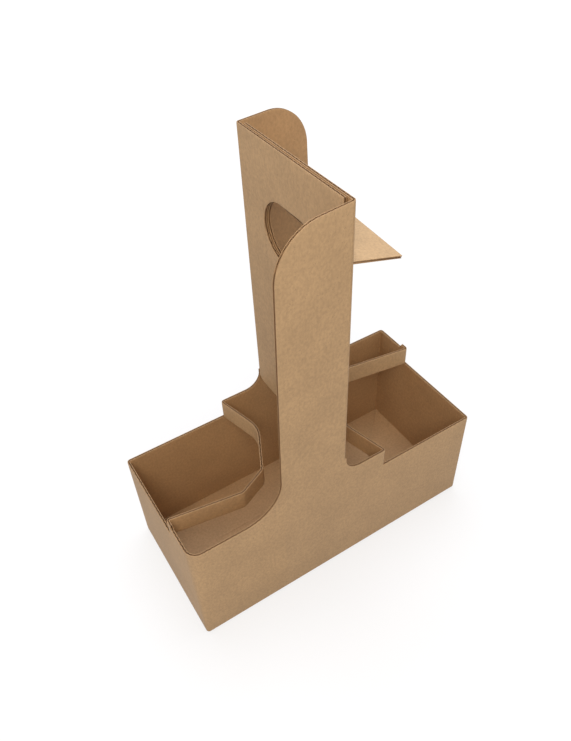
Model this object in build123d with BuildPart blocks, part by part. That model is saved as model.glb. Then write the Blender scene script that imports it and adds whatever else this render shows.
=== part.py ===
"""Cup carrier folded from one blank of corrugated board, in millimetres, +Z up.

The origin is the middle of the underside. X runs along the tray and Y across it. Apart from the hand
hole and the glued corner, a half turn about Z maps the carrier onto itself: each half brings a long
wall with its handle flange, a handle ply folded from that flange, and a strap pushed in from the
tray's corner.
"""

import os

from build123d import *

# Board
board = 1.7  # thickness of the corrugated board
fold_radius = 2.0  # outside radius of an upright fold
glued_radius = 8.0  # the same at the rim of the glued corner, which narrows to the plain fold below
foot_radius = 1.5  # outside radius of the folds round the bottom
cut_gap = 0.8  # width of an open die cut
fold_margin = 2.5  # rim kept full height past a strap's fold
fold_overlap = 5.0  # wall that continues a strap past its fold

# Tray
tray_length = 200.0
tray_width = 92.0
pocket_rim = 73.5  # rim left where a strap has been pushed in
wall_rim = 84.0  # rim between a flange and the next strap
rim_blend = 2.4  # rounding where that rim rises to the strap
strap_rim = 87.0  # top of a strap and of the tab beside it

# Bottom: two lock flaps below two end flaps
lock_offset = 9.0  # seam of the lock flaps, off the centre line
lock_step = 6.0  # half length of the sloping step in the seam
seam_margin = 6.0  # end of the seam, off the end wall
end_flap_depth = 33.0
end_flap_clearance = 1.0

# Glued joint of the blank, inside the corner at -X, -Y
tab_width = 18.0
tab_bevel = 6.0
tab_margin = 4.0  # top and bottom of the tab, off the rim and the floor

# Handle
handle_height = 265.0
ply_gap = 0.5  # gap between the two plies
ply_clearance = 0.5  # free edge of a ply, off the opposite flange
ply_rise = 6.0  # lower edge of the plies, above the straps
ply_corner = 7.0  # rounding of that edge beside the fold
handle_lean = 1.1  # top of each half, out of line with its long wall
flange_reach = 41.0  # free edge of the flange, off the middle of the handle
flange_flare = 6.0  # degrees by which the fold has sprung open at the top
flange_corner = 23.5
flange_foot = 24.5  # rounding between flange and rim
flare_margin = 1.5  # start of the flare, above that rounding
notch_margin = 2.0  # straight edge between the foot of the fold and the rounding beside the tab
wall_overlap = 4.0  # depth to which flange and wall share the same board

# Hand hole and its flap
hole_height = 33.6
hole_length = 48.8
hole_drop = 44.0  # middle of the hole, below the top of the handle
hinge_drop = 4.0  # front end of the flap's hinge, below the top of the hole
hinge_slope = 2.0  # degrees by which the hinge rises to the back
flap_margin = 1.3  # front end of the flap, off the front of the handle
flap_droop = 14.8  # degrees below level
flap_clearance = 0.3

# Straps, as points on the middle of the board in the pocket at +X, -Y
strap_wall_x = 31.0  # fold on the long wall
strap_end_y = 17.5  # fold on the end wall
strap_bow = (22.5, -13.0)  # bulge towards the handle
strap_corner = (37.4, 16.6)  # crease that was the tray's corner
strap_knee = (55.0, 24.7)  # crease beside it
bow_radius = 20.0
crease_radius = 5.0

# Places that follow from the sizes
half_length = tray_length / 2
half_width = tray_width / 2
floor_top = 2 * board
long_wall_line = -half_width + board / 2
end_wall_line = half_length - board / 2
bend_radius = fold_radius - board / 2
ply_line = ply_gap / 2 + board / 2
ply_outside = ply_gap / 2 + board
ply_end = half_width - board - ply_clearance
ply_foot = strap_rim + ply_rise
fold_foot = ply_foot + ply_corner
flare_foot = wall_rim + flange_foot + flare_margin
notch_radius = ply_rise + ply_corner - notch_margin
hole_centre = handle_height - hole_drop
hole_radius = hole_height / 2
hole_back = hole_length / 2 - hole_radius
hinge_height = hole_centre + hole_radius - hinge_drop
flap_front = flap_margin - half_width
dip_end = strap_end_y + fold_overlap

# Tray: walls and floor
with BuildPart() as tray:
    corners = ((1, 1), (-1, 1), (-1, -1), (1, -1))
    outside = [(half_length * x, half_width * y) for x, y in corners]
    with BuildSketch():
        with BuildLine():
            FilletPolyline(*outside, radius=fold_radius, close=True)
        make_face()
    with BuildSketch(Plane.XY.offset(strap_rim)):
        with BuildLine():
            radii = [fold_radius, fold_radius, glued_radius, fold_radius]
            FilletPolyline(*outside, radius=radii, close=True)
        make_face()
    loft(ruled=True)
    fillet(tray.faces().sort_by(Axis.Z)[0].edges(), foot_radius)
    inside = [((half_length - board) * x, (half_width - board) * y) for x, y in corners]
    with BuildSketch(Plane.XY.offset(board)):
        with BuildLine():
            FilletPolyline(*inside, radius=fold_radius - board, close=True)
        make_face()
    with BuildSketch(Plane.XY.offset(strap_rim)):
        with BuildLine():
            FilletPolyline(*inside, radius=[r - board for r in radii], close=True)
        make_face()
    loft(ruled=True, mode=Mode.SUBTRACT)

    # Seam where the lock flaps of the long walls hook into each other
    seam_end = half_length - seam_margin
    with BuildSketch():
        with BuildLine():
            Polyline(
                (-seam_end, lock_offset),
                (-lock_step, lock_offset),
                (lock_step, -lock_offset),
                (seam_end, -lock_offset),
            )
        trace(line_width=cut_gap)
    extrude(amount=board, mode=Mode.SUBTRACT)

    # End flap lying on the lock flaps
    flap_root = half_length - board
    flap_reach = half_width - board - end_flap_clearance
    with BuildSketch(Plane.XY.offset(board)):
        with BuildLine():
            Polyline(
                (flap_root, -flap_reach),
                (flap_root, flap_reach),
                (flap_root - end_flap_depth, flap_reach - end_flap_depth),
                (flap_root - end_flap_depth, end_flap_depth - flap_reach),
                close=True,
            )
        make_face()
    end_flap_solid = extrude(amount=board)
    add(end_flap_solid.rotate(Axis.Z, 180))

    # Glued tab of the end wall, on the inside of the long wall
    tab_end = tab_width - half_length + board
    tab_foot = floor_top + tab_margin
    tab_top = wall_rim - tab_margin
    with BuildSketch(Plane.XZ.offset(half_width - board)):
        with BuildLine():
            Polyline(
                (board - half_length, tab_foot),
                (tab_end, tab_foot + tab_bevel),
                (tab_end, tab_top - tab_bevel),
                (board - half_length, tab_top),
                close=True,
            )
        make_face()
    extrude(amount=-board)

# Room above the rim that a pushed-in strap leaves at +X, -Y
with BuildPart() as strap_room:
    room_length = half_length - strap_wall_x + fold_margin
    room_width = half_width + strap_end_y + fold_margin
    with BuildSketch(Plane.XY.offset(pocket_rim)):
        with Locations((half_length, -half_width)):
            Rectangle(room_length, room_width, align=(Align.MAX, Align.MIN))
    extrude(amount=strap_rim - pocket_rim)

# Lower rim from a flange round the corner at -X, -Y
with BuildPart() as rim_dip:
    with BuildSketch(Plane.XY.offset(wall_rim)):
        with Locations((-half_length, -half_width)):
            Rectangle(half_length - flange_reach, half_width - dip_end, align=Align.MIN)
    extrude(amount=strap_rim - wall_rim)
    dip_foot = rim_dip.faces().sort_by(Axis.Z)[0].edges()
    fillet(dip_foot.sort_by(Axis.Y)[-1], rim_blend)

# Flange above the long wall at -Y, with the ply folded from it
with BuildPart() as handle_half:
    fold = Vector(ply_line, long_wall_line)
    flange_edge = Vector(-flange_reach, long_wall_line)
    leaned_fold = fold - Vector(0, handle_lean)
    opened_edge = leaned_fold + (flange_edge - fold).rotate(Axis.Z, flange_flare)
    with BuildSketch(Plane.XY.offset(flare_foot)):
        with BuildLine():
            FilletPolyline(flange_edge, fold, (ply_line, ply_end), radius=bend_radius)
        trace(line_width=board)
    extrude(amount=ply_foot - flare_foot)

    # Rounded lower corner of the ply
    with BuildSketch(Plane.YZ.offset(-fold_overlap)):
        with Locations((-half_width, ply_foot)):
            Rectangle(ply_corner, ply_corner, align=Align.MIN)
        with Locations((ply_corner - half_width, fold_foot)):
            Circle(ply_corner, mode=Mode.SUBTRACT)
    extrude(amount=2 * fold_overlap, mode=Mode.SUBTRACT)

    # Foot of flange and fold, rounded into the rim and into the tab
    flange_start = -flange_reach - flange_foot - fold_overlap
    notch_end = ply_outside + notch_radius + fold_overlap
    with BuildSketch(Plane.XZ.offset(half_width)):
        with BuildLine():
            FilletPolyline(
                (notch_end, wall_rim - wall_overlap),
                (notch_end, strap_rim),
                (ply_outside, strap_rim),
                (ply_outside, fold_foot),
                (-board, fold_foot),
                (-board, flare_foot),
                (-flange_reach, flare_foot),
                (-flange_reach, wall_rim),
                (flange_start, wall_rim),
                (flange_start, wall_rim - wall_overlap),
                radius=[0, notch_radius, 0, 0, 0, 0, flange_foot, 0],
            )
            Line((flange_start, wall_rim - wall_overlap), (notch_end, wall_rim - wall_overlap))
        make_face()
    extrude(amount=-board)

    # Fold that springs open towards the top
    with BuildSketch(Plane.XY.offset(flare_foot)):
        with BuildLine():
            FilletPolyline(flange_edge, fold, (ply_line, ply_end), radius=bend_radius)
        trace(line_width=board)
    with BuildSketch(Plane.XY.offset(handle_height)):
        with BuildLine():
            FilletPolyline(opened_edge, leaned_fold, (ply_line, ply_end - handle_lean), radius=bend_radius)
        trace(line_width=board)
    loft(ruled=True)

    # Rounded top corner of the flange
    with BuildSketch(Plane.XZ):
        with Locations((opened_edge.X, handle_height)):
            Rectangle(2 * flange_corner, 2 * flange_corner)
        with Locations((opened_edge.X + flange_corner, handle_height - flange_corner)):
            Rectangle(flange_corner, flange_corner, align=Align.MIN, mode=Mode.SUBTRACT)
            Circle(flange_corner, mode=Mode.SUBTRACT)
    extrude(amount=tray_width, mode=Mode.SUBTRACT)

# Strap from the long wall to the end wall, at +X, -Y
with BuildPart() as strap:
    with BuildSketch(Plane.XY.offset(pocket_rim)):
        with BuildLine():
            FilletPolyline(
                (strap_wall_x - fold_overlap, long_wall_line),
                (strap_wall_x, long_wall_line),
                strap_bow,
                strap_corner,
                strap_knee,
                (end_wall_line, strap_end_y),
                (end_wall_line, dip_end),
                radius=[bend_radius, bow_radius, crease_radius, crease_radius, bend_radius],
            )
        trace(line_width=board)
    extrude(amount=strap_rim - pocket_rim)

# Whole carrier
with BuildPart() as cup_carrier:
    add(tray)
    with PolarLocations(0, 2):
        add(strap_room, mode=Mode.SUBTRACT)
        add(rim_dip, mode=Mode.SUBTRACT)
        add(handle_half)
        add(strap)

    # Hand hole, right through both plies
    with BuildSketch(Plane.YZ.offset(-ply_outside)):
        with Locations((0, hole_centre)):
            SlotOverall(hole_length, hole_height)
    extrude(amount=ply_outside, mode=Mode.SUBTRACT)

    # Opening below the hinge in the ply at +X: the hole's outline, square at the front
    along_hinge = Vector(0, 1, 0).rotate(Axis.X, hinge_slope)
    opening_plane = Plane(origin=(0, flap_front, hinge_height), x_dir=along_hinge, z_dir=(1, 0, 0))
    flap_run = hole_back - flap_front
    flap_middle = hole_centre - hinge_height
    turned = Location((0, 0, 0), (0, 0, -hinge_slope))
    with BuildSketch(opening_plane):
        with Locations(turned):
            with Locations((0, flap_middle)):
                Rectangle(flap_run, hole_height, align=(Align.MIN, Align.CENTER))
            with Locations((flap_run, flap_middle)):
                Circle(hole_radius)
        Rectangle(2 * tray_width, hole_height, align=(Align.CENTER, Align.MIN), mode=Mode.SUBTRACT)
    extrude(amount=ply_outside, mode=Mode.SUBTRACT)

    # Bend of the flap, about the outside of the ply
    flap_radius = hole_radius - flap_clearance
    flap_centre = Vector(flap_run, flap_middle).rotate(Axis.Z, -hinge_slope)
    hinge_end = flap_centre.X + (flap_radius**2 - flap_centre.Y**2) ** 0.5
    hinge_start = Vector(ply_outside, flap_front, hinge_height)
    across_hinge = Vector(0, 0, 1).rotate(Axis.X, hinge_slope)
    with BuildSketch(Plane(origin=hinge_start, x_dir=along_hinge, z_dir=across_hinge)):
        with Locations((flap_clearance, 0)):
            Rectangle(hinge_end - flap_clearance, board, align=Align.MIN)
    hinge = Axis(hinge_start, -along_hinge)
    revolve(axis=hinge, revolution_arc=90 - flap_droop)

    # Flap, swung out
    flap_normal = Vector(1, 0, 0).rotate(Axis((0, 0, 0), -along_hinge), 90 - flap_droop)
    with BuildSketch(Plane(origin=hinge_start, x_dir=along_hinge, z_dir=flap_normal)):
        with Locations(turned):
            with Locations((flap_clearance, flap_middle)):
                Rectangle(flap_run - flap_clearance, 2 * flap_radius, align=(Align.MIN, Align.CENTER))
            with Locations((flap_run, flap_middle)):
                Circle(flap_radius)
        Rectangle(2 * tray_width, hole_height, align=(Align.CENTER, Align.MIN), mode=Mode.SUBTRACT)
    extrude(amount=-board)

cup_carrier.part.label = "cup_carrier"

os.makedirs("parts", exist_ok=True)
export_step(cup_carrier.part, "parts/cup_carrier.step")
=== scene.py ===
"""Cup carrier of kraft corrugated board: two liners and a wavy medium, dressed over the CAD frame.

Sizes are in millimetres, and become metres where points enter the mesh. A panel of board is drawn flat:
a point on it has a place s along the panel, a height h and an offset n from the middle of the board, and
a place function puts that point where it lies on the carrier. A column is (s, lower edge, upper edge).
"""
import math

import bmesh
import bpy
from mathutils import Matrix, Vector


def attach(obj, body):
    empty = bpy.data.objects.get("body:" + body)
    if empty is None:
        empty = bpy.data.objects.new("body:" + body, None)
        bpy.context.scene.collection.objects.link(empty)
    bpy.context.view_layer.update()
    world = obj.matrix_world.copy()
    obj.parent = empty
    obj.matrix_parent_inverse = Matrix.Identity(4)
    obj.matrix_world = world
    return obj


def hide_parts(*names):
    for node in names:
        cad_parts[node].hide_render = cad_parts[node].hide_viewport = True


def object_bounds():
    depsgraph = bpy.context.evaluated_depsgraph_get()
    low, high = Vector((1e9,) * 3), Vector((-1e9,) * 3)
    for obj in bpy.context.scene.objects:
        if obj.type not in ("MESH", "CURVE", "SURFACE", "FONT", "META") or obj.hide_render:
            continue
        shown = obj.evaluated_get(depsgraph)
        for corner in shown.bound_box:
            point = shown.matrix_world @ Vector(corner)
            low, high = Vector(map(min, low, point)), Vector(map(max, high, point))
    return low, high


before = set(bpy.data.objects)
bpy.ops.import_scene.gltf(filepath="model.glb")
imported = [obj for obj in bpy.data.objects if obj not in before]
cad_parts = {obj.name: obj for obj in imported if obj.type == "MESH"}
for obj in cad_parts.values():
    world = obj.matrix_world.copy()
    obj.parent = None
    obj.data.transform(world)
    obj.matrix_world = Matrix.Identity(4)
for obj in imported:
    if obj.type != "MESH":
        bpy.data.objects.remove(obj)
cad_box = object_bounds()

MM = 0.001  # in metres


def cad_size(axis):
    """Size of the CAD model's box along an axis, in millimetres."""
    low, high = cad_box
    return round((high[axis] - low[axis]) / MM, 3)


# Board
BOARD = 1.7  # thickness of the corrugated board
FOLD_RADIUS = 2.0  # outside radius of an upright fold
GLUED_RADIUS = 8.0  # the same at the rim of the glued corner, which narrows to the plain fold below
FOOT_RADIUS = 1.5  # outside radius of the folds round the bottom
FOLD_MARGIN = 2.5  # rim kept full height past a strap's fold
FOLD_OVERLAP = 5.0  # wall that continues a strap past its fold

# Sheets of the board
LINER = 0.3
MEDIUM = 0.24
FLUTE_PITCH = 3.2
MEDIUM_RECESS = 0.08  # medium, behind the cut edges of the liners
PINCH = [(0.0, 0.86), (0.45, 0.95), (1.5, 1.0)]  # distance from a cut, and share of the thickness there
PINCH_ROOM = 0.3  # most of a low panel's height that the pinch of one edge takes up

# Tray
TRAY_LENGTH = cad_size(0)
TRAY_WIDTH = 92.0
POCKET_RIM = 73.5  # rim left where a strap has been pushed in
WALL_RIM = 84.0  # rim between a flange and the next strap
RIM_BLEND = 2.4  # rounding where that rim rises to the strap
STRAP_RIM = 87.0  # top of a strap and of the tab beside it

# Bottom: two lock flaps below two end flaps
LOCK_OFFSET = 9.0  # seam of the lock flaps, off the centre line
LOCK_STEP = 6.0  # half length of the sloping step in the seam
SEAM_GAP = 0.12
END_FLAP_DEPTH = 33.0
END_FLAP_CLEARANCE = 1.0
END_FLAP_TIP = 0.6  # depth left at the ends of the bevels

# Glued joint of the blank, inside the corner at -X, -Y
TAB_WIDTH = 18.0
TAB_BEVEL = 6.0
TAB_MARGIN = 4.0  # top and bottom of the tab, off the rim and the floor

# Handle
HANDLE_HEIGHT = cad_size(2)
PLY_GAP = 0.5  # gap between the two plies
PLY_CLEARANCE = 0.5  # free edge of a ply, off the opposite flange
PLY_RISE = 6.0  # lower edge of the plies, above the straps
PLY_CORNER = 7.0  # rounding of that edge beside the fold
HANDLE_LEAN = 1.1  # top of each half, out of line with its long wall
FLANGE_REACH = 41.0  # free edge of the flange, off the middle of the handle
FLANGE_FLARE = math.radians(6.0)  # angle by which the fold has sprung open at the top
FLANGE_CORNER = 23.5
FLANGE_FOOT = 24.5  # rounding between flange and rim
FLARE_MARGIN = 1.5  # start of the flare, above that rounding
EDGE_START = 3.0  # height above that start in which the pinch of the flange's edge sets in
NOTCH_MARGIN = 2.0  # straight edge between the foot of the fold and the rounding beside the tab

# Hand hole and its flap
HOLE_HEIGHT = 33.6
HOLE_LENGTH = 48.8
HOLE_DROP = 44.0  # middle of the hole, below the top of the handle
HINGE_DROP = 4.0  # front end of the flap's hinge, below the top of the hole
HINGE_SLOPE = math.radians(2.0)  # angle by which the hinge rises to the back
HINGE_RADIUS = 0.2  # crease on the inside of the hinge
FLAP_MARGIN = 1.3  # front end of the flap, off the front of the handle
FLAP_DROOP = math.radians(14.8)  # angle below level
FLAP_CLEARANCE = 0.3
FLAP_TIP = 0.02  # length left off the flap's round end, where it would have no height

# Straps, as points on the middle of the board in the pocket at +X, -Y
STRAP_WALL_X = 31.0  # fold on the long wall
STRAP_END_Y = 17.5  # fold on the end wall
STRAP_BOW = (22.5, -13.0)  # bulge towards the handle
STRAP_CORNER = (37.4, 16.6)  # crease that was the tray's corner
STRAP_KNEE = (55.0, 24.7)  # crease beside it
BOW_RADIUS = 20.0
CREASE_RADIUS = 5.0

# Start of each panel in the flat layout of the board, along its length
LAYOUT_TURNED = 700.0  # second half, after the first
LAYOUT_PLY = 300.0  # ply, after the walls of its half
LAYOUT_STRAP = 450.0  # strap, after the walls of its half
LAYOUT_FLAP = 1500.0
LAYOUT_LOCK_FLAPS = (2000.0, 2300.0)
LAYOUT_END_FLAPS = (2800.0, 2400.0)
LAYOUT_TAB = 3000.0

# Fineness of the mesh
COLUMN_STEP = FLUTE_PITCH / 8  # eight columns to a flute
FLATNESS = 0.01  # most that a flat face may leave the curved board
TWIST = 4 * FLATNESS  # most that a face's fourth corner may leave the plane of the others
MOST_BRIDGED = 60  # most column steps that one face spans
TINY = 0.001  # lengths below this count as none
ROUND_STEPS = 24  # parts of a quarter round
BLEND_STEPS = 8  # the same for the small rounding at the rim
ROUND_START = 3.0  # degrees left out of a quarter round where it stands upright
BEND_STEPS = (0, 22.5, 45, 67.5, 90)  # degrees round the bottom fold
HINGE_STEPS = (15, 30, 45, 60, 75)  # degrees round the flap's hinge
CORNER_KNEES = (25.0, 50.0)  # heights that divide the walls at the glued corner
SHARP_ANGLE = math.radians(40)

# Places that follow from the sizes
HALF_LENGTH = TRAY_LENGTH / 2
HALF_WIDTH = TRAY_WIDTH / 2
HALF_BOARD = BOARD / 2
PINCH_REACH = PINCH[-1][0]
LONG_WALL_LINE = -HALF_WIDTH + HALF_BOARD
END_WALL_LINE = HALF_LENGTH - HALF_BOARD
LONG_RUN = TRAY_LENGTH - 2 * FOLD_RADIUS
BEND_RADIUS = FOLD_RADIUS - HALF_BOARD
BEND_ARC = BEND_RADIUS * math.pi / 2
PLY_LINE = PLY_GAP / 2 + HALF_BOARD
PLY_OUTSIDE = PLY_GAP / 2 + BOARD
PLY_END = HALF_WIDTH - BOARD - PLY_CLEARANCE
PLY_FOOT = STRAP_RIM + PLY_RISE
FOLD_X = PLY_LINE - BEND_RADIUS
FOLD_FOOT = PLY_FOOT + PLY_CORNER
FLARE_FOOT = WALL_RIM + FLANGE_FOOT + FLARE_MARGIN
FLANGE_FOOT_X = -FLANGE_REACH - FLANGE_FOOT
FLANGE_CORNER_X = FLANGE_CORNER - FLANGE_REACH
NOTCH_RADIUS = PLY_RISE + PLY_CORNER - NOTCH_MARGIN
NOTCH_X = PLY_OUTSIDE + NOTCH_RADIUS
HOLE_CENTRE = HANDLE_HEIGHT - HOLE_DROP
HOLE_RADIUS = HOLE_HEIGHT / 2
HOLE_BACK = HOLE_LENGTH / 2 - HOLE_RADIUS
HINGE_HEIGHT = HOLE_CENTRE + HOLE_RADIUS - HINGE_DROP
FLAP_FRONT = FLAP_MARGIN - HALF_WIDTH
STRAP_START_X = STRAP_WALL_X - FOLD_MARGIN
STRAP_STOP_Y = STRAP_END_Y + FOLD_MARGIN
DIP_END = STRAP_END_Y + FOLD_OVERLAP
DIP_Y = DIP_END + RIM_BLEND

# Edges in a column, and materials in the order of the mesh's slots
LOWER, UPPER = 1, 2
# The cut edges' slot is partly painted shade of the flutes
# The medium's slot carries painted shade of the flute cells
LINER_MAT, INSIDE_MAT, SHADED_CUT_MAT, SHADED_MEDIUM_MAT = range(4)


class Path:
    """A plan line of straight runs and rounded corners, measured along its length."""

    def __init__(self, points, radii):
        self.parts = []
        self.marks = [0.0]
        corners = [Vector(p) for p in points]
        start = corners[0]
        for before, corner, after, radius in zip(corners, corners[1:], corners[2:], radii):
            heading = (corner - before).normalized()
            leaving = (after - corner).normalized()
            turn = math.atan2(heading.x * leaving.y - heading.y * leaving.x, heading.dot(leaving))
            cut = radius * math.tan(abs(turn) / 2)
            self.add_run(start, corner - heading * cut)
            self.add_arc(corner - heading * cut, heading, radius, turn)
            start = corner + leaving * cut
        self.add_run(start, corners[-1])
        self.length = self.marks[-1]

    def add(self, length, part):
        self.parts.append(part)
        self.marks.append(self.marks[-1] + length)

    def add_run(self, start, end):
        length = (end - start).length
        heading = (end - start).normalized()
        if length > TINY:
            self.add(length, lambda s: (start + heading * s, heading))

    def add_arc(self, start, heading, radius, turn):
        side = Vector((-heading.y, heading.x)) * math.copysign(1, turn)
        centre = start + side * radius

        def part(s):
            spin = Matrix.Rotation(math.copysign(s / radius, turn), 2)
            return centre + spin @ (start - centre), spin @ heading

        self.add(radius * abs(turn), part)

    def at(self, s):
        """Point at s along the line, and the line's heading there."""
        for part, start, end in zip(self.parts, self.marks, self.marks[1:]):
            if s <= end:
                break
        return part(s - start)

    def beside(self, s, n):
        """Point at s along the line and n to its right."""
        point, heading = self.at(s)
        return Vector((point.x + heading.y * n, point.y - heading.x * n))


def pinch_share(distance):
    """Share of the board's thickness at a distance from a cut."""
    for (d0, share0), (d1, share1) in zip(PINCH, PINCH[1:]):
        if distance < d1:
            return share0 + (share1 - share0) * (distance - d0) / (d1 - d0)
    return 1.0


def pinched_rows(columns, i, knees, foot):
    """Heights down a column, each with the share of the thickness that the pinched edges leave."""
    _, low, high = columns[i]
    before, after = columns[max(i - 1, 0)], columns[min(i + 1, len(columns) - 1)]
    room = PINCH_ROOM * (high - low)

    def inset(distance, edge):
        slant = math.hypot(1, (after[edge] - before[edge]) / (after[0] - before[0]))
        return min(distance * slant, room * distance / PINCH_REACH)

    rows = [(high - inset(d, UPPER), share) for d, share in PINCH]
    rows += [(h, 1.0) for h in sorted(knees, reverse=True)]
    if not foot:
        rows += [(low + inset(d, LOWER), share) for d, share in reversed(PINCH)]
    return rows


def foot_round(radius):
    """Section round the bottom fold, at a radius from its axis."""
    turns = [math.radians(a) for a in BEND_STEPS]
    middle = HALF_BOARD - FOOT_RADIUS
    return [(FOOT_RADIUS - radius * math.sin(a), middle + radius * math.cos(a)) for a in turns]


def ring(face, back, face_mat, back_mat, shaded_cut_mat):
    """Section of a sheet as a closed ring of (h, n, material), from its face and back, top down."""
    down = [(h, n, face_mat) for h, n in face]
    up = [(h, n, back_mat) for h, n in reversed(back)]
    down[-1] = (*face[-1], shaded_cut_mat)
    up[-1] = (*back[0], shaded_cut_mat)
    return down + up


def is_flat(places, points, first, last):
    """Whether flat faces from one column to another follow the columns between them."""
    for i in range(first + 1, last):
        t = (places[i] - places[first]) / (places[last] - places[first])
        for p, q, r in zip(points[first], points[i], points[last]):
            if (p.lerp(r, t) - q).length > FLATNESS:
                return False
    for k in range(len(points[first])):
        p, q, r = points[first][k - 1], points[first][k], points[last][k - 1]
        normal = (q - p).cross(r - p)
        twist = (points[last][k] - r - q + p).dot(normal)
        if abs(twist) > TWIST * normal.length:
            return False
    return True


def needed_columns(places, points):
    """Columns to keep, so that flat faces between them follow the board."""
    kept = [0]
    last = len(places) - 1
    while kept[-1] < last:
        start = kept[-1]
        end = start + 1
        while end < last and end - start < MOST_BRIDGED and is_flat(places, points, start, end + 1):
            end += 1
        kept.append(end)
    return kept


class Board:
    """Collects the sheets of the board as closed shells."""

    def __init__(self):
        self.verts, self.uvs, self.faces, self.mats = [], [], [], []

    def panel(self, place, columns, layout, foot=False, knees=(), cut_at=None, cut_from=-math.inf):
        """Two liners with the medium between them.

        Knees are heights at which the panel bends. A foot turns in under the tray. The upright end
        at cut_at is a cut edge, above the height cut_from.
        """
        outer, inner, medium = [], [], []
        full = len(PINCH) - 1  # row, from an edge, that has its full thickness
        for i, (s, low, high) in enumerate(columns):
            end_share = 1.0 if cut_at is None else pinch_share(abs(s - cut_at))
            face = [
                (h, HALF_BOARD * (min(share, end_share) if h > cut_from else share))
                for h, share in pinched_rows(columns, i, knees, foot)
            ]

            # Liner on the outside, and round the bottom fold where there is one
            front, back = list(face), [(h, n - LINER) for h, n in face]
            if foot:
                front += foot_round(FOOT_RADIUS)
                back += foot_round(FOOT_RADIUS - LINER)
                face.append((FOOT_RADIUS, HALF_BOARD))
            outer.append(ring(front, back, LINER_MAT, SHADED_MEDIUM_MAT, SHADED_CUT_MAT))

            # Liner on the inside
            front, back = [(h, -n) for h, n in face], [(h, LINER - n) for h, n in face]
            inner.append(ring(front, back, INSIDE_MAT, SHADED_MEDIUM_MAT, SHADED_CUT_MAT))

            # Wavy medium, which stops a little behind the cut edges
            wave = math.sin(2 * math.pi * s / FLUTE_PITCH)
            bottom = FOOT_RADIUS if foot else low + MEDIUM_RECESS
            rows = face[full:-1] if foot else face[full:-full]
            rows = [(high - MEDIUM_RECESS, face[0][1]), *rows, (bottom, face[-1][1])]
            middle = [(h, (n - LINER - MEDIUM / 2) * wave) for h, n in rows]
            front, back = ([(h, n + side * MEDIUM / 2) for h, n in middle] for side in (1, -1))
            medium.append(ring(front, back, SHADED_MEDIUM_MAT, SHADED_MEDIUM_MAT, SHADED_MEDIUM_MAT))
        self.sweep(place, columns, outer, layout, SHADED_CUT_MAT)
        self.sweep(place, columns, inner, layout, SHADED_CUT_MAT)
        self.sweep(place, columns, medium, layout, SHADED_MEDIUM_MAT)

    def sweep(self, place, columns, rings, layout, end_mat):
        """Joins the rings of neighbouring columns, and closes both ends."""
        places = [s for s, _, _ in columns]
        points = [[Vector(place(s, h, n)) for h, n, _ in rows] for s, rows in zip(places, rings)]
        kept = needed_columns(places, points)
        first = len(self.verts)
        count = len(rings[0])
        for i in kept:
            self.verts += [p * MM for p in points[i]]
            self.uvs += [((places[i] + layout) * MM, h * MM) for h, _, _ in rings[i]]
        for j, i in enumerate(kept[:-1]):
            a = first + j * count
            b = a + count
            for k in range(count):
                m = (k + 1) % count
                self.faces.append((a + k, b + k, b + m, a + m))
                self.mats.append(rings[i][k][2])
        last = first + (len(kept) - 1) * count
        self.faces.append(tuple(range(first, first + count)))
        self.faces.append(tuple(reversed(range(last, last + count))))
        self.mats += [end_mat, end_mat]

    def to_object(self, name, materials):
        """The sheets as one smooth mesh object, with the layout in its UV map."""
        mesh = bpy.data.meshes.new(name)
        mesh.from_pydata(self.verts, [], self.faces)
        layer = mesh.uv_layers.new(name="board")
        for loop in mesh.loops:
            layer.data[loop.index].uv = self.uvs[loop.vertex_index]
        for polygon, index in zip(mesh.polygons, self.mats):
            polygon.material_index = index
            polygon.use_smooth = True
        shell = bmesh.new()
        shell.from_mesh(mesh)
        bmesh.ops.recalc_face_normals(shell, faces=shell.faces)
        shell.to_mesh(mesh)
        shell.free()
        mesh.set_sharp_from_angle(angle=SHARP_ANGLE)
        for material in materials:
            mesh.materials.append(material)
        obj = bpy.data.objects.new(name, mesh)
        bpy.context.scene.collection.objects.link(obj)
        return obj


def spread(start, end, *turns):
    """Places from start to end, a column step apart, with more where an outline turns."""
    count = max(1, round((end - start) / COLUMN_STEP))
    marks = [start + (end - start) * i / count for i in range(count + 1)]
    marks += [t for t in turns if start < t < end]
    marks.sort()
    kept = [start]
    for mark in marks:
        if mark - kept[-1] > TINY:
            kept.append(mark)
    kept[-1] = end
    return kept


def pinch_marks(cut_at, direction):
    """Places beside a cut at which its pinch changes."""
    return [cut_at + direction * d for d, _ in PINCH[1:]]


def quarter_round(centre, radius, side, steps=ROUND_STEPS):
    """Places that divide a quarter round evenly by angle, on one side of its centre."""
    angles = [math.radians(ROUND_START + (90 - ROUND_START) * i / steps) for i in range(steps + 1)]
    return [centre + side * radius * math.cos(a) for a in angles]


def half_chord(radius, away):
    """Half the chord of a circle, at a distance from its centre."""
    return math.sqrt(max(0.0, radius * radius - away * away))


# Outlines
def foot_height(x):
    """Rim of a long wall, which rounds up into the flange."""
    return WALL_RIM + FLANGE_FOOT - half_chord(FLANGE_FOOT, max(x - FLANGE_FOOT_X, 0.0))


def flange_height(x):
    """Top of the flange, with its rounded corner."""
    return HANDLE_HEIGHT - FLANGE_CORNER + half_chord(FLANGE_CORNER, min(x - FLANGE_CORNER_X, 0.0))


def notch_height(x):
    """Rim beside the fold, which rounds down to the tab."""
    return STRAP_RIM + NOTCH_RADIUS - half_chord(NOTCH_RADIUS, min(x - NOTCH_X, 0.0))


def dip_height(y):
    """Rim of an end wall, which rounds down from the strap."""
    return WALL_RIM + RIM_BLEND - half_chord(RIM_BLEND, min(y - DIP_Y, 0.0))


def ply_bottom(y):
    """Lower edge of a ply, which rounds up into the fold."""
    return FOLD_FOOT - half_chord(PLY_CORNER, min(y + HALF_WIDTH - PLY_CORNER, 0.0))


def hinge_line(y):
    """Height of the flap's hinge."""
    return HINGE_HEIGHT + math.tan(HINGE_SLOPE) * (y - FLAP_FRONT)


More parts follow.
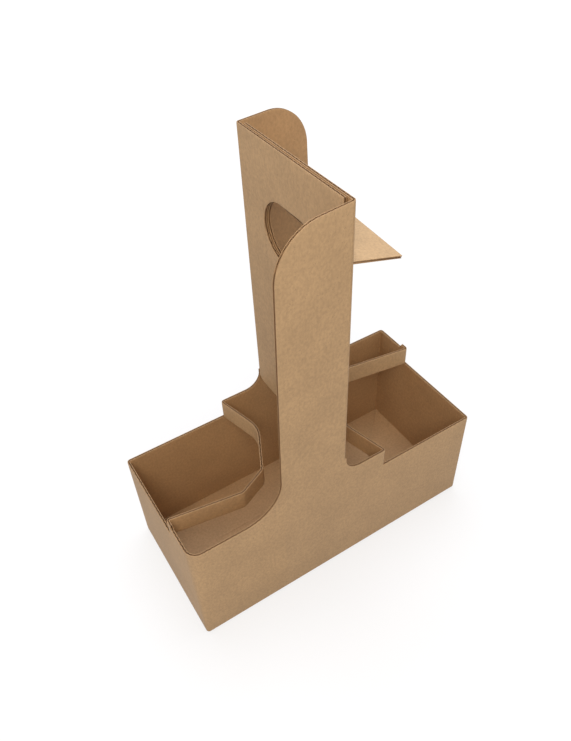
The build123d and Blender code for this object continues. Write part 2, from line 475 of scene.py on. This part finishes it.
# Plan lines of one half, and places along them
WALLS = Path(
    [
        (-END_WALL_LINE, FOLD_RADIUS - HALF_WIDTH),
        (-END_WALL_LINE, LONG_WALL_LINE),
        (END_WALL_LINE, LONG_WALL_LINE),
        (END_WALL_LINE, HALF_WIDTH - FOLD_RADIUS),
    ],
    [BEND_RADIUS, BEND_RADIUS],
)
PLY = Path([(FOLD_X, LONG_WALL_LINE), (PLY_LINE, LONG_WALL_LINE), (PLY_LINE, PLY_END)], [BEND_RADIUS])
STRAP = Path(
    [
        (STRAP_START_X, LONG_WALL_LINE),
        (STRAP_WALL_X, LONG_WALL_LINE),
        STRAP_BOW,
        STRAP_CORNER,
        STRAP_KNEE,
        (END_WALL_LINE, STRAP_END_Y),
        (END_WALL_LINE, STRAP_STOP_Y),
    ],
    [BEND_RADIUS, BOW_RADIUS, CREASE_RADIUS, CREASE_RADIUS, BEND_RADIUS],
)


def along_long_wall(x):
    """Place along the walls, at x on the long wall."""
    return BEND_ARC + x + HALF_LENGTH - FOLD_RADIUS


def along_end_wall(y):
    """Place along the walls, at y on the end wall."""
    return 2 * BEND_ARC + LONG_RUN + y + HALF_WIDTH - FOLD_RADIUS


def along_ply(y):
    """Place along a ply, at y past its fold."""
    return BEND_ARC + y + HALF_WIDTH - FOLD_RADIUS


def flare_share(h):
    """Share of the flare and the lean at a height."""
    return min(1.0, max(0.0, (h - FLARE_FOOT) / (HANDLE_HEIGHT - FLARE_FOOT)))


def glued_corner(e, h, n):
    """Plan place at the corner at -X, -Y, whose fold opens towards the rim.

    e runs along the middle of the board from the sharp corner: below zero on the end wall.
    """
    bend = FOLD_RADIUS + (GLUED_RADIUS - FOLD_RADIUS) * max(h, 0.0) / STRAP_RIM - HALF_BOARD
    if e <= -bend:
        return (-END_WALL_LINE - n, LONG_WALL_LINE - e)
    if e >= bend:
        return (e - END_WALL_LINE, LONG_WALL_LINE - n)
    angle = math.radians(225 + 45 * e / bend)
    x = bend - END_WALL_LINE + (bend + n) * math.cos(angle)
    y = LONG_WALL_LINE + bend + (bend + n) * math.sin(angle)
    return (x, y)


class Half:
    """One half of the carrier. The other one is turned by half a turn, and has no flap."""

    fold = Vector((PLY_LINE, LONG_WALL_LINE))
    lean = Vector((0.0, HANDLE_LEAN))

    def __init__(self, board, turned):
        self.board = board
        self.turned = turned
        self.sign = -1 if turned else 1
        self.layout = LAYOUT_TURNED if turned else 0.0

    def put(self, plan, h):
        """Point at a plan place and a height, turned with the half."""
        return (self.sign * plan.x, self.sign * plan.y, h)

    def upright(self, path):
        """Places board upright along a plan line."""
        return lambda s, h, n: self.put(path.beside(s, n), h)

    def flared(self, s, h, n):
        """Place on the flange, which springs open about its fold towards the top."""
        foot = WALLS.beside(s, n)
        top = self.fold + Matrix.Rotation(FLANGE_FLARE, 2) @ (foot - self.fold) - self.lean
        return self.put(foot.lerp(top, flare_share(h)), h)

    def folded(self, s, h, n):
        """Place on the ply, whose fold turns less towards the top."""
        foot = top = PLY.beside(s, n)
        if s < BEND_ARC:
            angle = (FLANGE_FLARE - math.pi / 2) * (1 - s / BEND_ARC)
            reach = BEND_RADIUS * math.tan(math.pi / 4 - FLANGE_FLARE / 2)
            centre = Vector((FOLD_X, LONG_WALL_LINE + reach))
            top = Vector((math.cos(angle), math.sin(angle))) * (BEND_RADIUS + n) + centre
        return self.put(foot.lerp(top - self.lean, flare_share(h)), h)

    def glued(self, s, h, n):
        """Place on the walls at the glued corner, where one half starts and the turned one ends."""
        if self.turned:
            e = s - WALLS.length - BEND_RADIUS
        elif s < BEND_ARC:
            e = BEND_RADIUS * (2 * s / BEND_ARC - 1)
        else:
            e = s - BEND_ARC + BEND_RADIUS
        return (*glued_corner(e, h, n), h)

    def wall(self, start, end, height, turns=(), place=None, **options):
        """A stretch of the walls, below an edge that is given along them."""
        columns = [(s, 0.0, height(s)) for s in spread(start, end, *turns)]
        self.board.panel(place or self.upright(WALLS), columns, self.layout, foot=True, **options)

    def walls(self):
        """Long wall and end wall, from the corner beyond the flange to the far end of the end wall."""
        middle, end_middle = along_long_wall(0), along_end_wall(0)
        flange_edge, fold_start = along_long_wall(-FLANGE_REACH), along_long_wall(FOLD_X)
        fold_end, strap_start = along_long_wall(PLY_OUTSIDE), along_long_wall(STRAP_START_X)
        strap_stop, dip_end = along_end_wall(STRAP_STOP_Y), along_end_wall(DIP_END)
        corner_start, corner_end = BEND_ARC + LONG_RUN, along_end_wall(FOLD_RADIUS - HALF_WIDTH)

        # Rim up to the flange
        turns = [along_long_wall(x) for x in quarter_round(FLANGE_FOOT_X, FLANGE_FOOT, 1)]
        self.wall(
            0.0, flange_edge, lambda s: foot_height(s - middle), [BEND_ARC, *turns],
            None if self.turned else self.glued, knees=CORNER_KNEES,
        )

        # Flange, and the foot of the fold beside it
        turns = [along_long_wall(x) for x in quarter_round(FLANGE_CORNER_X, FLANGE_CORNER, -1)]
        self.wall(
            flange_edge, fold_start, lambda s: flange_height(s - middle), turns + pinch_marks(flange_edge, 1),
            self.flared, knees=(FLARE_FOOT, FLARE_FOOT + EDGE_START), cut_at=flange_edge, cut_from=FLARE_FOOT,
        )
        self.wall(fold_start, fold_end, lambda s: FOLD_FOOT)

        # Tab, pocket and the end wall's rim
        turns = [along_long_wall(x) for x in quarter_round(NOTCH_X, NOTCH_RADIUS, -1)]
        self.wall(fold_end, strap_start, lambda s: notch_height(s - middle), turns)
        self.wall(strap_start, strap_stop, lambda s: POCKET_RIM, [corner_start, corner_end])
        self.wall(strap_stop, dip_end, lambda s: STRAP_RIM)
        turns = [along_end_wall(y) for y in quarter_round(DIP_Y, RIM_BLEND, -1, BLEND_STEPS)]
        self.wall(
            dip_end, WALLS.length, lambda s: dip_height(s - end_middle), turns,
            self.glued if self.turned else None, knees=CORNER_KNEES,
        )

    def ply(self):
        """Ply folded from the flange, open for the hand.

        In the half with the flap, the opening ends at the hinge and is square at the front.
        """
        slip = HANDLE_LEAN * flare_share(HOLE_CENTRE)
        rounds = quarter_round(HOLE_BACK, HOLE_RADIUS, 1)
        front = FLAP_FRONT
        if self.turned:
            rounds += quarter_round(-HOLE_BACK, HOLE_RADIUS, -1)
            front = -HOLE_LENGTH / 2

        def across(s):
            return s - along_ply(0) if s > BEND_ARC else PLY.at(s)[0].y

        def hole_y(s):
            return self.sign * (across(s) - slip)

        def half_hole(s):
            y = hole_y(s)
            front_away = -y - HOLE_BACK if self.turned else 0.0
            return half_chord(HOLE_RADIUS, max(y - HOLE_BACK, front_away, 0.0))

        def foot(s):
            return ply_bottom(across(s))

        def under_hole(s):
            return HOLE_CENTRE - half_hole(s)

        def over_hole(s):
            top = HOLE_CENTRE + half_hole(s)
            return top if self.turned else min(top, hinge_line(hole_y(s)))

        def handle_top(s):
            return HANDLE_HEIGHT

        def stretch(start, end, low, high, turns, **options):
            columns = [(s, low(s), high(s)) for s in spread(start, end, *turns)]
            self.board.panel(self.folded, columns, self.layout + LAYOUT_PLY, **options)

        knees = [FLARE_FOOT]
        holes = [along_ply(self.sign * y + slip) for y in rounds]
        feet = [along_ply(y) for y in quarter_round(PLY_CORNER - HALF_WIDTH, PLY_CORNER, -1)]
        first, last = sorted(along_ply(self.sign * y + slip) for y in (front, HOLE_LENGTH / 2))
        stretch(0.0, first, foot, handle_top, [BEND_ARC, *feet], knees=knees)
        stretch(first, last, foot, under_hole, holes + feet, knees=knees)
        stretch(first, last, over_hole, handle_top, holes)
        end = PLY.length
        stretch(last, end, foot, handle_top, pinch_marks(end, -1), knees=knees, cut_at=end)

    def strap(self):
        """Strap pushed in from the tray's corner."""
        columns = [(s, POCKET_RIM, STRAP_RIM) for s in spread(0.0, STRAP.length, *STRAP.marks)]
        self.board.panel(self.upright(STRAP), columns, self.layout + LAYOUT_STRAP)


def hand_flap(board):
    """Flap of the hand hole, bent out along its hinge. Its heights run up to zero at the hinge."""
    bend = HINGE_RADIUS + HALF_BOARD
    swing = math.pi / 2 - FLAP_DROOP
    along = Vector((0.0, math.cos(HINGE_SLOPE), math.sin(HINGE_SLOPE)))
    down = Vector((0.0, math.sin(HINGE_SLOPE), -math.cos(HINGE_SLOPE)))
    out = Vector((1.0, 0.0, 0.0))

    def place(s, h, n):
        """Place on the flap, which turns round its crease and then runs straight."""
        root = Vector((PLY_OUTSIDE + HINGE_RADIUS, s, hinge_line(s)))
        root += along * h * math.sin(HINGE_SLOPE)
        below = -h * math.cos(HINGE_SLOPE)
        angle = min(below / HINGE_RADIUS, swing)
        run = below - HINGE_RADIUS * angle
        across = (n - bend) * math.cos(angle) + run * math.sin(angle)
        return root + out * across + down * ((bend - n) * math.sin(angle) + run * math.cos(angle))

    radius = HOLE_RADIUS - FLAP_CLEARANCE

    def column(y):
        half = half_chord(radius, max(y - HOLE_BACK, 0.0))
        hinge = hinge_line(y)
        return (y, HOLE_CENTRE - half - hinge, min(HOLE_CENTRE + half - hinge, 0.0))

    # Back end of the hinge, where its line leaves the circle of the flap's round end
    away = (hinge_line(HOLE_BACK) - HOLE_CENTRE) * math.cos(HINGE_SLOPE)
    reach = half_chord(radius, away)
    hinge_end = HOLE_BACK - away * math.sin(HINGE_SLOPE) + reach * math.cos(HINGE_SLOPE)

    front, back = FLAP_FRONT + FLAP_CLEARANCE, HOLE_BACK + radius - FLAP_TIP
    knees = [-HINGE_RADIUS * math.radians(a) for a in HINGE_STEPS]
    turns = quarter_round(HOLE_BACK, radius, 1)
    columns = [column(y) for y in spread(front, hinge_end, *turns, *pinch_marks(front, 1))]
    board.panel(place, columns, LAYOUT_FLAP, knees=knees, cut_at=front)
    columns = [column(y) for y in spread(hinge_end, back, *turns)]
    board.panel(place, columns, LAYOUT_FLAP)


def bottom(board):
    """Lock flaps from the long walls, and the end flaps on top of them."""
    reach_x, reach_y = HALF_LENGTH - FOOT_RADIUS, HALF_WIDTH - FOOT_RADIUS
    root = HALF_LENGTH - BOARD
    side = HALF_WIDTH - BOARD - END_FLAP_CLEARANCE
    bevel_end = side - END_FLAP_DEPTH

    def seam(x):
        return -LOCK_OFFSET * min(1.0, max(-1.0, x / LOCK_STEP))

    def lower(s, h, n):
        return (s, h, HALF_BOARD - n)

    places = spread(-reach_x, reach_x, -LOCK_STEP, LOCK_STEP)
    front, back = LAYOUT_LOCK_FLAPS
    board.panel(lower, [(s, -reach_y, seam(s) - SEAM_GAP / 2) for s in places], front)
    board.panel(lower, [(s, seam(s) + SEAM_GAP / 2, reach_y) for s in places], back)

    def depth(y):
        return min(END_FLAP_DEPTH, max(END_FLAP_TIP, side - abs(y)))

    for sign, layout in zip((1, -1), LAYOUT_END_FLAPS):
        def upper(s, h, n, sign=sign):
            return (sign * (root - h), s, BOARD + HALF_BOARD - n)

        places = spread(-side, side, -bevel_end, bevel_end)
        board.panel(upper, [(s, 0.0, depth(s)) for s in places], layout)


def glue_tab(board):
    """Glued joint of the blank, on the inside of the long wall."""
    low, high = 2 * BOARD + TAB_MARGIN, WALL_RIM - TAB_MARGIN
    start, end = BOARD + HALF_BOARD, TAB_WIDTH + HALF_BOARD

    def place(s, h, n):
        return (*glued_corner(s, h, n - BOARD), h)

    def column(s):
        bevel = TAB_BEVEL * s / end
        return (s, low + bevel, high - bevel)

    columns = [column(s) for s in spread(start, end, *pinch_marks(end, -1))]
    board.panel(place, columns, LAYOUT_TAB, knees=CORNER_KNEES, cut_at=end)


def add_node(tree, kind, values=None, operation=None):
    """A shader node, with its operation and the values of its sockets."""
    node = tree.nodes.new(kind)
    if operation:
        node.operation = operation
    for socket, value in (values or {}).items():
        node.inputs[socket].default_value = value
    return node


def kraft(name, color, contrast, felt):
    """Brown kraft paper: soft mottling, fine fibres, dark specks, a fine felt and faint flutes."""
    material = bpy.data.materials.new(name)
    material.use_nodes = True
    tree = material.node_tree
    link = tree.links.new
    shader = tree.nodes["Principled BSDF"]
    shader.inputs["Roughness"].default_value = 0.65
    shader.inputs["Specular IOR Level"].default_value = 0.4
    coords = add_node(tree, "ShaderNodeTexCoord").outputs["Object"]

    def noise(scale, detail, stretch=(1.0, 1.0, 1.0)):
        mapping = add_node(tree, "ShaderNodeMapping", {"Scale": stretch})
        texture = add_node(tree, "ShaderNodeTexNoise", {"Scale": scale, "Detail": detail})
        link(coords, mapping.inputs["Vector"])
        link(mapping.outputs["Vector"], texture.inputs["Vector"])
        return texture.outputs["Fac"]

    def tone(value, low, high, start=0.35, end=0.65):
        limits = {"From Min": start, "From Max": end, "To Min": low, "To Max": high}
        ramp = add_node(tree, "ShaderNodeMapRange", limits)
        link(value, ramp.inputs["Value"])
        return ramp.outputs["Result"]

    def times(a, b):
        product = add_node(tree, "ShaderNodeMath", operation="MULTIPLY")
        link(a, product.inputs[0])
        link(b, product.inputs[1])
        return product.outputs["Value"]

    def bump(height, strength, distance, below=None):
        relief = add_node(tree, "ShaderNodeBump", {"Strength": strength, "Distance": distance})
        link(height, relief.inputs["Height"])
        if below:
            link(below, relief.inputs["Normal"])
        return relief.outputs["Normal"]

    # Colour
    cloud = tone(noise(scale=45.0, detail=3.0), 1 - 0.5 * contrast, 1 + 0.5 * contrast)
    fibre = tone(noise(scale=700.0, detail=5.0, stretch=(1.0, 1.0, 0.75)), 1 - contrast, 1 + contrast)
    speck = tone(noise(scale=1400.0, detail=2.0), 1 - 3 * contrast, 1.0, start=0.27, end=0.36)
    paint = add_node(tree, "ShaderNodeVectorMath", {0: color}, operation="SCALE")
    link(times(times(cloud, fibre), speck), paint.inputs["Scale"])
    link(paint.outputs["Vector"], shader.inputs["Base Color"])

    # Flutes that show faintly through the liner
    layout = add_node(tree, "ShaderNodeUVMap")
    layout.uv_map = "board"
    split = add_node(tree, "ShaderNodeSeparateXYZ")
    phase = add_node(tree, "ShaderNodeMath", {1: 2 * math.pi / (FLUTE_PITCH * MM)}, operation="MULTIPLY")
    flutes = add_node(tree, "ShaderNodeMath", operation="SINE")
    link(layout.outputs["UV"], split.inputs["Vector"])
    link(split.outputs["X"], phase.inputs[0])
    link(phase.outputs["Value"], flutes.inputs[0])

    # Relief: the board's sway, the paper's felt and the flutes
    relief = bump(noise(scale=35.0, detail=2.0), strength=0.2, distance=0.6 * MM)
    relief = bump(noise(scale=2600.0, detail=4.0), strength=felt, distance=0.1 * MM, below=relief)
    relief = bump(flutes.outputs["Value"], strength=1.0, distance=0.008 * MM, below=relief)
    link(relief, shader.inputs["Normal"])
    return material


def seen(tree):
    """One for the rays that show a surface to the camera, straight or by reflection."""
    rays = add_node(tree, "ShaderNodeLightPath")
    total = rays.outputs["Is Camera Ray"]
    for kind in ("Is Glossy Ray", "Is Transmission Ray"):
        either = add_node(tree, "ShaderNodeMath", operation="MAXIMUM")
        tree.links.new(total, either.inputs[0])
        tree.links.new(rays.outputs[kind], either.inputs[1])
        total = either.outputs["Value"]
    return total


def mix(tree, share, first, second, output):
    """Mixes two shaders by a share, into an output node's surface."""
    blend = add_node(tree, "ShaderNodeMixShader")
    tree.links.new(share, blend.inputs["Fac"])
    tree.links.new(first, blend.inputs[1])
    tree.links.new(second, blend.inputs[2])
    tree.links.new(blend.outputs["Shader"], tree.nodes[output].inputs["Surface"])


def white_floor():
    """Floor that looks white and keeps a faint shadow, with a glow that grows away from the object."""
    bpy.ops.mesh.primitive_plane_add(size=6.0, location=(0, 0, -0.2 * MM))
    floor = bpy.context.object
    floor.name = "floor"
    paint = bpy.data.materials.new("floor_white")
    paint.use_nodes = True
    tree = paint.node_tree
    link = tree.links.new
    diffuse = tree.nodes["Principled BSDF"]
    diffuse.inputs["Base Color"].default_value = (0.352, 0.334, 0.33, 1)
    diffuse.inputs["Roughness"].default_value = 0.9
    coords = add_node(tree, "ShaderNodeTexCoord")
    away = add_node(tree, "ShaderNodeVectorMath", operation="LENGTH")
    limits = {"From Min": 0.2, "From Max": 1.2, "To Min": 2.34, "To Max": 2.85}
    fade = add_node(tree, "ShaderNodeMapRange", limits)
    fade.clamp = False
    glow = add_node(tree, "ShaderNodeEmission")
    glow_share = 0.3  # the rest is lit, and takes the shadow
    share = add_node(tree, "ShaderNodeMath", {1: glow_share}, operation="MULTIPLY")
    link(coords.outputs["Object"], away.inputs[0])
    link(away.outputs["Value"], fade.inputs["Value"])
    link(fade.outputs["Result"], glow.inputs["Strength"])
    link(seen(tree), share.inputs[0])
    mix(tree, share.outputs["Value"], diffuse.outputs["BSDF"], glow.outputs["Emission"], "Material Output")
    floor.data.materials.append(paint)
    return floor


def white_room():
    """World that lights the object softly, and looks white."""
    world = bpy.data.worlds.new("room")
    bpy.context.scene.world = world
    world.use_nodes = True
    tree = world.node_tree
    room = tree.nodes["Background"]
    room.inputs["Color"].default_value = (1, 1, 1, 1)
    room.inputs["Strength"].default_value = 0.67
    white = add_node(tree, "ShaderNodeBackground", {"Color": (1, 1, 1, 1), "Strength": 1.0})
    mix(tree, seen(tree), room.outputs["Background"], white.outputs["Background"], "World Output")


def lamp(name, location, target, size, power, color):
    """Round soft lamp, aimed at a target."""
    data = bpy.data.lights.new(name, "AREA")
    data.shape = "DISK"
    data.size = size
    data.energy = power
    data.color = color
    obj = bpy.data.objects.new(name, data)
    obj.location = location
    aim = Vector(target) - Vector(location)
    obj.rotation_euler = aim.to_track_quat("-Z", "Y").to_euler()
    bpy.context.scene.collection.objects.link(obj)


def photo_camera():
    """Camera at the photograph's place, solved from the carrier's edges in it."""
    data = bpy.data.cameras.new("camera")
    data.sensor_width = 36.0
    data.lens = 33.21
    data.clip_start = 0.01
    camera = bpy.data.objects.new("camera", data)
    camera.location = (-0.14831, -0.24112, 0.40646)
    camera.rotation_euler = [math.radians(a) for a in (46.0782, 2.1875, -32.2361)]
    bpy.context.scene.collection.objects.link(camera)
    return camera


# Carrier
board = Board()
for turned in (False, True):
    half = Half(board, turned)
    half.walls()
    half.ply()
    half.strap()
hand_flap(board)
bottom(board)
glue_tab(board)
papers = [
    kraft("kraft_liner", (0.455, 0.286, 0.147), contrast=0.085, felt=0.3),
    kraft("kraft_inside", (0.4, 0.23, 0.106), contrast=0.085, felt=0.3),
    # Cut edges: darker than the liner, partly the cut paper's own colour and partly painted shade of the
    # flutes, set between the tones of lit and shaded edges
    kraft("kraft_cut_edge_shaded", (0.36, 0.207, 0.098), contrast=0.08, felt=0.4),
    # Medium: its dark colour is painted shade of the flute cells between the liners. It also paints the
    # hidden backs of the liners
    kraft("kraft_medium_shaded", (0.23, 0.12, 0.05), contrast=0.08, felt=0.4),
]
carrier = board.to_object("corrugated_board", papers)
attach(carrier, "root")
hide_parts("cup_carrier")

# Stage
floor = white_floor()
white_room()
lamp("overhead", (0.15, 0.25, 1.1), (0, 0, 0.1), size=0.8, power=6.2, color=(0.9, 1.03, 1.18))
lamp("front_fill", (-0.28, -0.43, 0.68), (0, 0, 0.2), size=0.34, power=3.1, color=(1.0, 0.97, 0.88))
bpy.context.scene.camera = photo_camera()
bpy.context.scene.view_settings.view_transform = "Standard"
